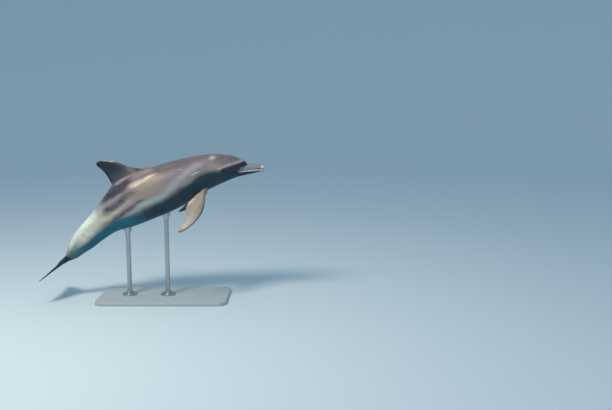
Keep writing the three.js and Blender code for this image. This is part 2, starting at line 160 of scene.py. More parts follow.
# The ways of a flipper's span and chord are [towards the tail, down, outwards].
FLIPPERS = dict(
    right=dict(side=-1, root=(602, -139, 98), span=(0.69, 0.6, 0.4), chord=(0.99, 0, 0.1)),
    left=dict(side=1, root=(590, -112, 100), span=(0.82, 0.38, 0.43), chord=(0.98, 0.1, 0.1)),
)


# ---------- The spine ----------
SPINE_STEP = 2
spine_s = np.arange(0, 2300, SPINE_STEP)
step_pitch = np.radians(BODY(spine_s + SPINE_STEP / 2)[0])
spine_x = BEAK_TIP[0] - SPINE_STEP * (np.cumsum(np.cos(step_pitch)) - np.cos(step_pitch))
spine_z = BEAK_TIP[1] - SPINE_STEP * (np.cumsum(np.sin(step_pitch)) - np.sin(step_pitch))
spine_pitch = np.radians(BODY(spine_s)[0])


def place(s, n, y=0.0, pitch=None):
    """The point at height n over the spine at s, and y to the left of it."""
    pitch = np.interp(s, spine_s, spine_pitch) if pitch is None else pitch
    x = np.interp(s, spine_s, spine_x) - n * np.sin(pitch)
    z = np.interp(s, spine_s, spine_z) + n * np.cos(pitch)
    return np.stack(np.broadcast_arrays(x, y, z), -1)


def search_tree(points):
    tree = kdtree.KDTree(len(points))
    for index, point in enumerate(points):
        tree.insert(point, index)
    tree.balance()
    return tree


spine_tree = search_tree(np.stack([spine_x, 0 * spine_x, spine_z], -1))


def along_and_over(points):
    """s and n of points that are given in millimetres."""
    k = np.array([spine_tree.find((x, 0, z))[1] for x, _, z in points])
    dx, dz = points[:, 0] - spine_x[k], points[:, 2] - spine_z[k]
    pitch = spine_pitch[k]
    aft = -dx * np.cos(pitch) - dz * np.sin(pitch)
    return spine_s[k] + aft, dz * np.cos(pitch) - dx * np.sin(pitch)


# ---------- The body's surface ----------
def ease(x, low, high):
    """0 at low, 1 at high, and smooth between."""
    u = np.clip((np.asarray(x, float) - low) / (high - low), 0, 1)
    return u * u * (3 - 2 * u)


def hump(x, width):
    """A smooth bump, 1 at zero and almost nothing two widths away."""
    return np.exp(-((np.asarray(x, float) / width) ** 2))


def within(x, low, high, soft):
    """1 between low and high, fading out over a soft length on each side."""
    return ease(x, low - soft, low) * (1 - ease(x, high, high + soft))


def round_end(distance, length):
    gone = 1 - np.clip(distance, 0, length) / length
    return np.sqrt(np.maximum(1 - gone**2, 0))


def melon_reach(s, level, cy, cn):
    """How far the melon reaches at s, from height level, in the direction of cy and cn."""
    offset = level - MELON["n"] + MELON_DROOP(s)[0]
    along = s - MELON["s"] + MELON["lean"] * offset
    long2, tall2, wide2 = MELON["long"] ** 2, MELON["tall"] ** 2, MELON["wide"] ** 2
    a = (MELON["lean"] * cn) ** 2 / long2 + cn**2 / tall2 + cy**2 / wide2
    b = along * MELON["lean"] * cn / long2 + offset * cn / tall2
    c = along**2 / long2 + offset**2 / tall2 - 1
    inside = b * b - a * c
    return np.where(inside > 0, np.maximum((np.sqrt(np.maximum(inside, 0)) - b) / a, 0), 0)


def section_reach(s, cy, cn, half, tall):
    """How far the surface reaches from the section's middle, and how much the trunk outreaches the melon."""
    _, _, _, _, level, full = BODY(s)
    oval = (abs(cy / half) ** full + abs(cn / tall) ** full) ** (-1 / full)
    melon = melon_reach(s, level, cy, cn)
    blend = MELON_BLEND(s)[0] * (1 + 1.1 * ease(cn, 0.6, 0.95) * ease(s, 270, 360))
    near = np.maximum(blend - abs(oval - melon), 0)
    return np.maximum(oval, melon) + near**2 / (4 * blend), oval - melon


def body_surface(s, turn):
    """y and n of the surface at s. turn goes round from the left side over the back."""
    _, top, bottom, half, level, _ = BODY(s)
    close = round_end(s, TIP_ROUNDING) * round_end(BODY_END - s, TAIL_ROUNDING)
    half = half * close + MM
    tall = np.where(np.sin(turn) > 0, top - level, bottom + level) * close + MM
    cy, cn = half * np.cos(turn), tall * np.sin(turn)
    length = np.hypot(cy, cn)
    reach = section_reach(s, cy / length, cn / length, half, tall)[0]
    return reach * cy / length, level + reach * cn / length


def from_surface(s, n, y):
    """Direction in its section, reach of the body there, and lead of the trunk over the melon."""
    _, top, bottom, half, level, _ = BODY(s)
    close = round_end(s, TIP_ROUNDING) * round_end(BODY_END - s, TAIL_ROUNDING) + MM
    length = np.hypot(y, n - level) + MM
    cy, cn = y / length, (n - level) / length
    tall = np.where(cn > 0, top - level, bottom + level)
    reach, lead = section_reach(s, cy, cn, half * close, tall * close)
    return cy, cn, reach, lead


def from_crease(s, n, y):
    """Distance of a point on the surface from the crease between the beak and the melon."""
    lead = from_surface(s, n, y)[3]
    over = n - MELON["n"] + MELON_DROOP(s)[0]
    along = s - MELON["s"] + MELON["lean"] * over
    parts = np.stack((along / MELON["long"], over / MELON["tall"], y / MELON["wide"]))
    slope = np.stack((parts[0] / MELON["long"], parts[1] / MELON["tall"], parts[2] / MELON["wide"]))
    to_melon = ((parts**2).sum(0) - 1) / (2 * np.sqrt((slope**2).sum(0)) + MM * MM)
    return abs(np.where(lead > 0, to_melon, lead)) + 200 * ease(s, 255, 320)


# ---------- Mesh work ----------
def shell(name, columns, rings, where):
    """A closed shell from a grid rolled round: where(u, v) gives its points for u, v from 0 to 1."""
    bm = bmesh.new()
    bmesh.ops.create_grid(bm, x_segments=columns, y_segments=rings, size=0.5)
    u = np.array([v.co.x for v in bm.verts]) + 0.5
    v = np.array([v.co.y for v in bm.verts]) + 0.5
    points = where(np.mod(np.round(u * columns), columns) / columns, np.round(v * rings) / rings)
    for end in (v < 0.1 / rings, v > 1 - 0.1 / rings):
        points[end] = points[end].mean(0)
    for vert, point in zip(bm.verts, points * MM):
        vert.co = point
    bmesh.ops.remove_doubles(bm, verts=bm.verts, dist=1e-6)
    bmesh.ops.recalc_face_normals(bm, faces=bm.faces)
    return finished(name, bm)


def finished(name, bm, smooth=True):
    """Turns a bmesh into an object of the scene."""
    mesh = bpy.data.meshes.new(name)
    bm.to_mesh(mesh)
    bm.free()
    for polygon in mesh.polygons:
        polygon.use_smooth = smooth
    piece = bpy.data.objects.new(name, mesh)
    bpy.context.scene.collection.objects.link(piece)
    return piece


def combined(piece, others, operation):
    """Joins others to a piece, or cuts them from it, and removes them."""
    for other in others:
        boolean = piece.modifiers.new(operation, "BOOLEAN")
        boolean.operation, boolean.solver, boolean.object = operation, "EXACT", other
    shape = piece.evaluated_get(bpy.context.evaluated_depsgraph_get())
    mesh = bpy.data.meshes.new_from_object(shape)
    piece.modifiers.clear()
    piece.data = mesh
    for other in others:
        bpy.data.objects.remove(other)


# ---------- The body and the fins ----------
SIDE_COLUMNS = 72  # columns of vertices from the belly's middle to the back's
LIP_COLUMN = 30  # the column that runs along the mouth


def lip_turn(s):
    """The turn at which the surface crosses the mouth's line, for each s."""
    turns = np.radians(np.linspace(-90, 90, 361))
    heights = body_surface(s[:, None], turns[None])[1]
    mouth = MOUTH(s)[0]
    return np.array([np.interp(m, row, turns) for m, row in zip(mouth, heights)])


def body_grid(rings):
    """The body's points, ring by ring, with the columns drawn close together along the lips."""
    count = SIDE_COLUMNS
    k = np.arange(count + 1)
    lip = lip_turn(rings)[:, None]
    below = lip - (lip + math.pi / 2) * (np.maximum(LIP_COLUMN - k, 0) / LIP_COLUMN) ** 1.5
    above = (math.pi / 2 - lip) * (np.maximum(k - LIP_COLUMN, 0) / (count - LIP_COLUMN)) ** 1.5
    even = -math.pi / 2 + math.pi * k / count
    turn = even + (below + above - even) * (1 - ease(rings, MOUTH_CORNER, 480))[:, None]
    y, n = body_surface(rings[:, None], turn)
    left = place(rings[:, None], n, y)
    right = left[:, -2:0:-1] * (1, -1, 1)
    return np.concatenate([left, right], 1)


def make_body():
    stretches = [
        36 * np.linspace(0, 1, 17)[:-1] ** 2,
        np.arange(36, 210, 3.2),
        np.arange(210, 480, 4),
        np.arange(480, 1330, 7),
        np.arange(1330, 1950, 7.5),
        BODY_END - 60 * np.linspace(1, 0, 15) ** 2,
    ]
    rings = np.concatenate(stretches)
    grid = body_grid(rings)
    columns = grid.shape[1]

    def where(u, v):
        ring = np.round(v * (len(rings) - 1)).astype(int)
        return grid[ring, np.round(u * columns).astype(int) % columns]

    return shell("dolphin_skin", columns, len(rings) - 1, where)


def foil(c):
    """Half thickness of a fin's section at a share c of its chord, for a greatest thickness of 1."""
    return 5 * (0.2969 * np.sqrt(c) - 0.126 * c - 0.3516 * c**2 + 0.2843 * c**3 - 0.1036 * c**4)


def fin_point(table, u, t):
    """How far aft, out and off its middle plane a fin's surface is."""
    lead_aft, lead_out, trail_aft, trail_out, thick = table(t)
    c = np.clip((1 + np.cos(2 * math.pi * u)) / 2, 0, 1)
    off = thick * foil(c) + EDGE / 2 * c * np.sqrt(1 - c**8)
    aft = lead_aft + c * (trail_aft - lead_aft)
    out = lead_out + c * (trail_out - lead_out)
    return aft, out, np.sign(np.sin(2 * math.pi * u)) * off


def make_dorsal_fin():
    pitch = np.interp(DORSAL_AT["s"], spine_s, spine_pitch)

    def where(u, v):
        aft, out, off = fin_point(DORSAL_FIN, u, v)
        point = place(DORSAL_AT["s"], DORSAL_AT["n"] + out, off)
        return point - aft[:, None] * (math.cos(pitch), 0, math.sin(pitch))

    return shell("dorsal_fin", 56, 70, where)


def make_flukes():
    pitch = math.radians(FLUKES_AT["pitch"])

    def where(u, v):
        t = 2 * v - 1
        aft, out, off = fin_point(FLUKE, u, abs(t))
        point = place(FLUKES_AT["s"], FLUKES_AT["n"] + off, np.sign(t) * out, pitch)
        return point - aft[:, None] * (math.cos(pitch), 0, math.sin(pitch))

    return shell("flukes", 56, 120, where)


def flipper_axes(side, root, span, chord):
    pitch = np.interp(root[0], spine_s, spine_pitch)
    tailward = np.array((-math.cos(pitch), 0, -math.sin(pitch)))
    down = np.array((math.sin(pitch), 0, -math.cos(pitch)))
    ways = np.array((tailward, down, (0, side, 0)))
    along = np.array(span) @ ways
    along /= np.linalg.norm(along)
    across = np.array(chord) @ ways
    across -= along * (across @ along)
    across /= np.linalg.norm(across)
    return place(root[0], root[1], side * root[2]), across, along, np.cross(along, across)


def make_flipper(name):
    start, across, along, face = flipper_axes(**FLIPPERS[name])

    def where(u, v):
        aft, out, off = fin_point(FLIPPER, u, v)
        return start + aft[:, None] * across + out[:, None] * along + off[:, None] * face

    return shell("flipper_" + name, 48, 70, where)


# ---------- One skin ----------
def mark_parts(pieces):
    """Numbers each piece's faces, so that the joins can be found after the pieces are one."""
    for number, piece in enumerate(pieces):
        marks = piece.data.attributes.new("part", "INT", "FACE")
        marks.data.foreach_set("value", np.full(len(piece.data.polygons), number, np.int32))


def root_edges(bm):
    """The edges where a fin meets the trunk: the middle of each, and its fin's number."""
    part = bm.faces.layers.int["part"]
    joins = [(e, {f[part] for f in e.link_faces}) for e in bm.edges]
    return [((e.verts[0].co + e.verts[1].co) / 2, max(parts)) for e, parts in joins if len(parts) > 1]


def read_vertices(mesh):
    flat = np.empty(len(mesh.vertices) * 3)
    mesh.vertices.foreach_get("co", flat)
    return flat.reshape(-1, 3) / MM


def write_vertices(mesh, points):
    mesh.vertices.foreach_set("co", (points * MM).ravel())
    mesh.update()


def read_normals(mesh):
    flat = np.empty(len(mesh.vertices) * 3)
    mesh.vertex_normals.foreach_get("vector", flat)
    return flat.reshape(-1, 3)


def read_edges(mesh):
    flat = np.empty(len(mesh.edges) * 2, np.int32)
    mesh.edges.foreach_get("vertices", flat)
    return flat.reshape(-1, 2)


def refine(mesh, wanted, rounds=5):
    """Halves edges until none is longer than wanted says for the points at its ends."""
    for _ in range(rounds):
        points, ends = read_vertices(mesh), read_edges(mesh)
        limit = wanted(points)[ends].max(1)
        length = np.linalg.norm(points[ends[:, 0]] - points[ends[:, 1]], axis=1)
        long = np.flatnonzero(length > limit)
        if not len(long):
            return
        bm = bmesh.new()
        bm.from_mesh(mesh)
        bm.edges.ensure_lookup_table()
        bmesh.ops.subdivide_edges(bm, edges=[bm.edges[k] for k in long], cuts=1, use_grid_fill=True)
        bmesh.ops.triangulate(bm, faces=[f for f in bm.faces if len(f.verts) > 4])
        bm.to_mesh(mesh)
        bm.free()


def relax(points, edges, weight, rounds):
    """Draws each vertex to the middle of its neighbours, by its weight, round after round."""
    count = len(points)
    a, b = edges[:, 0], edges[:, 1]
    shared = np.maximum(np.bincount(a, minlength=count) + np.bincount(b, minlength=count), 1)
    for _ in range(rounds):
        total = np.empty_like(points)
        for axis in range(3):
            value = points[:, axis]
            total[:, axis] = np.bincount(a, value[b], count) + np.bincount(b, value[a], count)
        points += weight[:, None] * (total / shared[:, None] - points)
    return points


# The width over which each part's root flows into the trunk: dorsal fin, flukes and two flippers.
ROOT_FLOW = {1: 80, 2: 44, 3: 44, 4: 44}
TIP_STRETCH = 7  # gives the beak's tip back the length that evening its mesh takes off
ROOT_SWELL = 0.2  # how far it stands out at the root, as a share of that width


def join_skin():
    """The trunk and the fins as one closed mesh, with flowing roots."""
    trunk = make_body()
    fins = [make_dorsal_fin(), make_flukes(), make_flipper("right"), make_flipper("left")]
    mark_parts([trunk, *fins])
    combined(trunk, fins, "UNION")
    bm = bmesh.new()
    bm.from_mesh(trunk.data)
    bmesh.ops.triangulate(bm, faces=[f for f in bm.faces if len(f.verts) > 4])
    joins = root_edges(bm)
    tree = search_tree([point for point, _ in joins])
    flow = np.array([ROOT_FLOW[number] for _, number in joins])
    close = [v for v in bm.verts if tree.find(v.co)[2] < 3 * MM]
    bmesh.ops.remove_doubles(bm, verts=close, dist=1.2 * MM)
    bmesh.ops.triangulate(bm, faces=[f for f in bm.faces if len(f.verts) > 4])
    bm.to_mesh(trunk.data)
    bm.free()

    def from_root(points):
        """Distance from the nearest root as a share of that root's flow, and the flow itself."""
        found = [tree.find(p)[1:] for p in points * MM]
        width = flow[[index for index, _ in found]]
        return np.array([far for _, far in found]) / MM / width, width

    refine(trunk.data, lambda points: np.where(from_root(points)[0] < 0.9, 5.5, np.inf))
    points, edges = read_vertices(trunk.data), read_edges(trunk.data)
    far, width = from_root(points)
    swell = ROOT_SWELL * width * np.maximum(1 - far, 0) ** 2
    points += read_normals(trunk.data) * swell[:, None]
    relax(points, edges, 0.6 * (1 - ease(far, 0.1, 0.6)), 30)
    s, _ = along_and_over(points)
    relax(points, edges, 0.6 * (1 - ease(s, 4, 12)), 16)
    ahead = place(0, 0) - place(80, 0)
    write_vertices(trunk.data, points + np.outer(np.maximum(1 - s / 80, 0) ** 2 * TIP_STRETCH / 80, ahead))
    return trunk


def side_y(s, n):
    """Half the body's width at height n."""
    turns = np.radians(np.linspace(-60, 70, 500))
    y, heights = body_surface(np.full_like(turns, s), turns)
    return np.interp(n, heights, y)


def eye_frame(side):
    """The eyeball's middle, and the ways forward, up and out of the head's side there."""
    s, n = EYE["s"], EYE["n"]
    middle = place(s, n, side * (side_y(s, n) + EYE["stands_out"] - EYE["radius"]))
    back, front, low, high = (
        place(s + ds, n + dn, side * side_y(s + ds, n + dn))
        for ds, dn in ((20, 0), (-20, 0), (0, -20), (0, 20))
    )
    forward = (front - back) / np.linalg.norm(front - back)
    up = high - low - forward * (forward @ (high - low))
    up /= np.linalg.norm(up)
    outward = np.cross(forward, up)
    return middle, forward, up, outward * np.sign(outward[1]) * side


def fine_places():
    """Where the mesh must be finer: points, how far round them, and the longest edge."""
    places = []
    for side in (-1, 1):
        middle = eye_frame(side)[0]
        places += [(middle, 50, 2.8), (middle, 32, 1.4), (middle, 20, 0.8)]
        ear = place(EAR["s"], EAR["n"], side * side_y(EAR["s"], EAR["n"]))
        places.append((ear, 10, 1))
        places.append((place(572, 40, side * side_y(572, 40)), 60, 4.4))  # the streak on the shoulder
    crown = place(BLOWHOLE["s"], BODY(BLOWHOLE["s"])[1])
    places += [(crown, 42, 3), (crown, 28, 1.5)]
    for s in np.arange(VENT_S[0] - 20, VENT_S[1] + 50, 16):
        places.append((place(s, -BODY(s)[2]), 22, 2.2))
    places.append((place(NAVEL_S, -BODY(NAVEL_S)[2]), 24, 2))
    return places


def add_detail(skin):
    """Makes the mesh finer where the eyes, the blowhole, the ears and the slits are."""
    places = fine_places()

    def wanted(points):
        limit = np.full(len(points), np.inf)
        for middle, reach, longest in places:
            near = np.linalg.norm(points - middle, axis=1) < reach
            limit[near] = np.minimum(limit[near], longest)
        beak = np.flatnonzero(points[:, 0] > place(300, 0)[0])
        s, n = along_and_over(points[beak])
        crease = from_crease(s, n, points[beak, 1])
        limit[beak[(crease < 9) & (n > MOUTH(s)[0])]] = 1.8
        return limit

    refine(skin.data, wanted)


def back_on_surface(skin):
    """Lays the head's new vertices on the body's curved surface."""
    points = read_vertices(skin.data)
    s, n = along_and_over(points)
    cy, cn, reach, _ = from_surface(s, n, points[:, 1])
    level = BODY(s)[4]
    off = np.hypot(points[:, 1], n - level) - reach
    moved = (s > 60) & (s < 470) & (abs(off) < 2)
    points[moved] = place(s, level + reach * cn, reach * cy)[moved]
    crease = from_crease(s, n, points[:, 1]) + 200 * (n < MOUTH(s)[0] + 3)
    write_vertices(skin.data, relax(points, read_edges(skin.data), 0.6 * (1 - ease(crease, 3, 9)), 12))


def lid_height(a, b, c):
    """Height over the eyeball's middle of the lids and the skin round them; c is the plain skin's."""
    turn = math.radians(EYE["tilt"])
    along, over = a * math.cos(turn) - b * math.sin(turn), a * math.sin(turn) + b * math.cos(turn)
    almond = (abs(along / EYE["slit_long"]) ** 1.7 + abs(over / EYE["slit_tall"]) ** 1.7) ** (1 / 1.7)
    ball = np.sqrt(np.maximum(EYE["radius"] ** 2 - a**2 - b**2, 0))
    lid = np.maximum(ball + EYE["lid"], c - 2.2)
    hugging = np.maximum(c, lid) + np.maximum(4 - abs(c - lid), 0) ** 2 / 16
    outer = lid + (hugging - lid) * ease(almond, 1, 1.9)
    folds = 0.9 * hump(almond - 1.7, 0.14) + 0.5 * hump(almond - 2.35, 0.22)
    open_part = 1 - ease(almond, 0.9, 1.04)
    height = outer - folds * ease(over, -3, 3)
    return height + (ball - 2.5 - height) * open_part, almond


def sculpt(skin):
    """Presses the mouth, creases, lids, blowhole and slits into the skin, and returns the eye rims."""
    points = read_vertices(skin.data)
    normals = read_normals(skin.data)
    s, n = along_and_over(points)
    y, side = points[:, 1], abs(points[:, 1])
    cy, cn, reach, _ = from_surface(s, n, y)
    level = BODY(s)[4]
    trunk = 1 - ease(np.hypot(y, n - level) - reach, 2, 8)
    lip = n - MOUTH(s)[0]
    jaws = 1 - ease(s, MOUTH_CORNER - 16, MOUTH_CORNER + 3)
    lift = jaws * ease(s, 1.5, 8) * (1.1 * hump(lip + 6.5, 4) + 0.7 * hump(lip - 6, 4) - 2.6 * hump(lip, 1.5))
    lift -= 1.5 * hump(np.hypot(s - MOUTH_CORNER - 2, lip - 1), 5)
    lift -= 1.6 * hump(from_crease(s, n, y), 4) * ease(lip, 4, 16)
    lift -= 1.3 * hump(n - 11 - (s - 245) * 0.02, 7) * within(s, 248, 314, 14)
    lift += 1.3 * hump(s - 352, 30) * hump(n - 36, 10)
    lift -= 1.6 * hump(np.hypot(s - EAR["s"], n - EAR["n"]), 1.8)
    crown = ease(cn, 0.8, 0.95)
    arc = s - BLOWHOLE["s"] + BLOWHOLE["bow"] * (y / BLOWHOLE["half_width"]) ** 2
    ends = 1 - ease(side, BLOWHOLE["half_width"] - 4, BLOWHOLE["half_width"] + 3)
    lift += crown * ends * (0.7 * hump(arc + 6, 5) - BLOWHOLE["depth"] * hump(arc, 2))
    lift -= crown * 1.2 * hump(arc - 9, 7) * ends
    under = ease(-cn, 0.9, 0.98)
    vent = within(s, *VENT_S, 12)
    lift += under * vent * (1.3 * hump(side - 6.5, 4) - 3 * hump(y, 1.9))
    lift -= under * 1.2 * hump(side - 17, 1.4) * within(s, 1352, 1370, 8)
    lift -= under * 2 * hump(np.hypot(s - VENT_S[1] - 34, y), 3.5)
    lift += under * (0.8 * hump(np.hypot(s - NAVEL_S, side - 7), 6) - 1.8 * hump(y, 2.2) * hump(s - NAVEL_S, 9))
    points += normals * (lift * trunk)[:, None]
    rims = np.zeros(len(points))
    for eye_side in (-1, 1):
        middle, forward, up, outward = eye_frame(eye_side)
        a, b, c = ((points - middle) @ way for way in (forward, up, outward))
        height, almond = lid_height(a, b, c)
        round_eye = (c > 2) & (np.hypot(a, b) < 50)
        held = round_eye * (1 - ease(np.hypot(a, b), 28, 44))
        points += (held * (height - c))[:, None] * outward
        rims = np.maximum(rims, np.where(round_eye, 1 - ease(almond, 1, 1.5), 0))
    write_vertices(skin.data, points)
    return rims


# ---------- Markings, painted light and painted shade: where each colour lies, as h against s ---
# h is 0 on the widest line, 1 on the back's middle line and -1 on the belly's.
# Heights in the section at s: 0 at its widest, 1 on the back and -1 under the belly.
# Where the painted dark teal shade under the belly begins: the edge between the lit flank and the shaded underside.
# By the throat and flippers it also takes in a darker stripe of the skin.
BELLY_SHADE_EDGE = Curve(
    (0, -0.25), (140, -0.2), (204, 0), (300, 0), (365, 0.02), (445, 0.05), (508, 0.02), (560, -0.05),
    (609, -0.14), (722, -0.21), (792, -0.29), (889, -0.4), (988, -0.44), (1096, -0.46), (1174, -0.48),
    (1242, -0.46), (1324, -0.36), (1396, -0.33), (1463, -0.36), (1546, -0.42), (1664, -0.4), (1823, -0.15),
    (2010, 0),
)
CAPE_EDGE = Curve(
    (160, 1.2), (240, 0.5), (330, 0.42), (400, 0.5), (470, 0.7), (560, 0.7), (700, 0.6), (860, 0.66),
    (1020, 0.72), (1100, 0.62), (1200, 0.56), (1320, 0.6), (1420, 0.9), (1500, 1.2),
)
MELON_UNDER = Curve((150, 76), (175, 66), (196, 60), (236, 52), (277, 44), (319, 35), (350, 25), (372, 8))
# The flank's streaks are partly the skin's own tones and partly painted light and shade: light dappled through water,
# and the shade of the muscles' forms.
STREAKS = dict(
    # where it starts and stops, how softly, then its height and its half width at s
    # A painted highlight along the upper flank, then its wider, softer painted glow.
    flank_highlight=(925, 1050, 90, Curve((813, 0.7, 0.07), (885, 0.73, 0.07), (936, 0.7, 0.08), (989, 0.66, 0.09),
                                (1067, 0.61, 0.11), (1110, 0.6, 0.11))),
    flank_highlight_glow=(900, 1060, 120, Curve((830, 0.58, 0.22), (989, 0.52, 0.24), (1150, 0.5, 0.2))),
    upper_dark=(880, 960, 90, Curve((780, 0.88, 0.16), (879, 0.88, 0.14), (1007, 0.81, 0.12),
                                      (1130, 0.78, 0.14))),
    saddle=(1130, 1300, 90, Curve((1107, 0.76, 0.3), (1191, 0.74, 0.3), (1312, 0.81, 0.24),
                                   (1420, 0.9, 0.16))),
    light_streak=(1200, 1420, 70, Curve((1064, 0.48, 0.07), (1185, 0.51, 0.08), (1261, 0.52, 0.1),
                                         (1317, 0.58, 0.16), (1354, 0.66, 0.22), (1390, 0.77, 0.3),
                                         (1467, 0.9, 0.4))),
    dark_streak=(1110, 1335, 90, Curve((1096, 0.38, 0.17), (1165, 0.34, 0.2), (1220, 0.28, 0.21),
                                        (1295, 0.3, 0.22), (1378, 0.44, 0.19), (1490, 0.42, 0.16))),
    pale_streak=(1190, 1500, 100, Curve((1040, 0.16, 0.1), (1148, 0.12, 0.11), (1208, 0.09, 0.11),
                                        (1298, 0.04, 0.14), (1366, 0.02, 0.2), (1427, 0.16, 0.26),
                                        (1620, 0.17, 0.3))),
    lower_streak=(1080, 1330, 90, Curve((1086, -0.04, 0.1), (1133, -0.1, 0.11), (1223, -0.15, 0.11),
                                         (1292, -0.21, 0.12), (1400, -0.24, 0.12))),
    pale_band=(860, 1160, 170, Curve((495, 0.18, 0.14), (564, 0.11, 0.15), (700, 0.05, 0.17),
                                     (763, 0.0, 0.18), (842, -0.16, 0.2), (931, -0.25, 0.21),
                                     (1027, -0.27, 0.21), (1095, -0.29, 0.18), (1144, -0.32, 0.16),
                                     (1250, -0.42, 0.14))),
    back_glow=(930, 1020, 110, Curve((820, 0.9, 0.16), (1130, 0.9, 0.16))),
    shoulder_glow=(560, 760, 130, Curve((470, 0.62, 0.24), (537, 0.53, 0.24), (589, 0.42, 0.24),
                                        (629, 0.3, 0.24), (687, 0.18, 0.24), (748, 0.07, 0.22),
                                        (890, -0.13, 0.2))),
    dusk=(640, 790, 120, Curve((560, 0.66, 0.16), (620, 0.64, 0.18), (735, 0.64, 0.2), (900, 0.68, 0.14))),
    shoulder_streak=(540, 580, 26, Curve((528, 0.22, 0.04), (560, 0.19, 0.04), (620, 0.12, 0.04))),
)


def fin_places(points, table, start, across, along):
    """On a fin: distance behind its leading edge, distance ahead of its trailing edge, distance out."""
    aft, out = (points - start) @ across, (points - start) @ along
    lead_aft, lead_out, trail_aft, trail_out, _ = table(np.linspace(0, 1, 200))
    lead, trail = np.argsort(lead_out), np.argsort(trail_out)
    behind = aft - np.interp(out, lead_out[lead], lead_aft[lead])
    return behind, np.interp(out, trail_out[trail], trail_aft[trail]) - aft, out


def drift(places, size, seed):
    """Smooth random values from about -1 to 1 that change over a size in millimetres."""
    offset = Vector((seed, 0, 0))
    return np.array([noise.noise(Vector(p) / size + offset) for p in places])


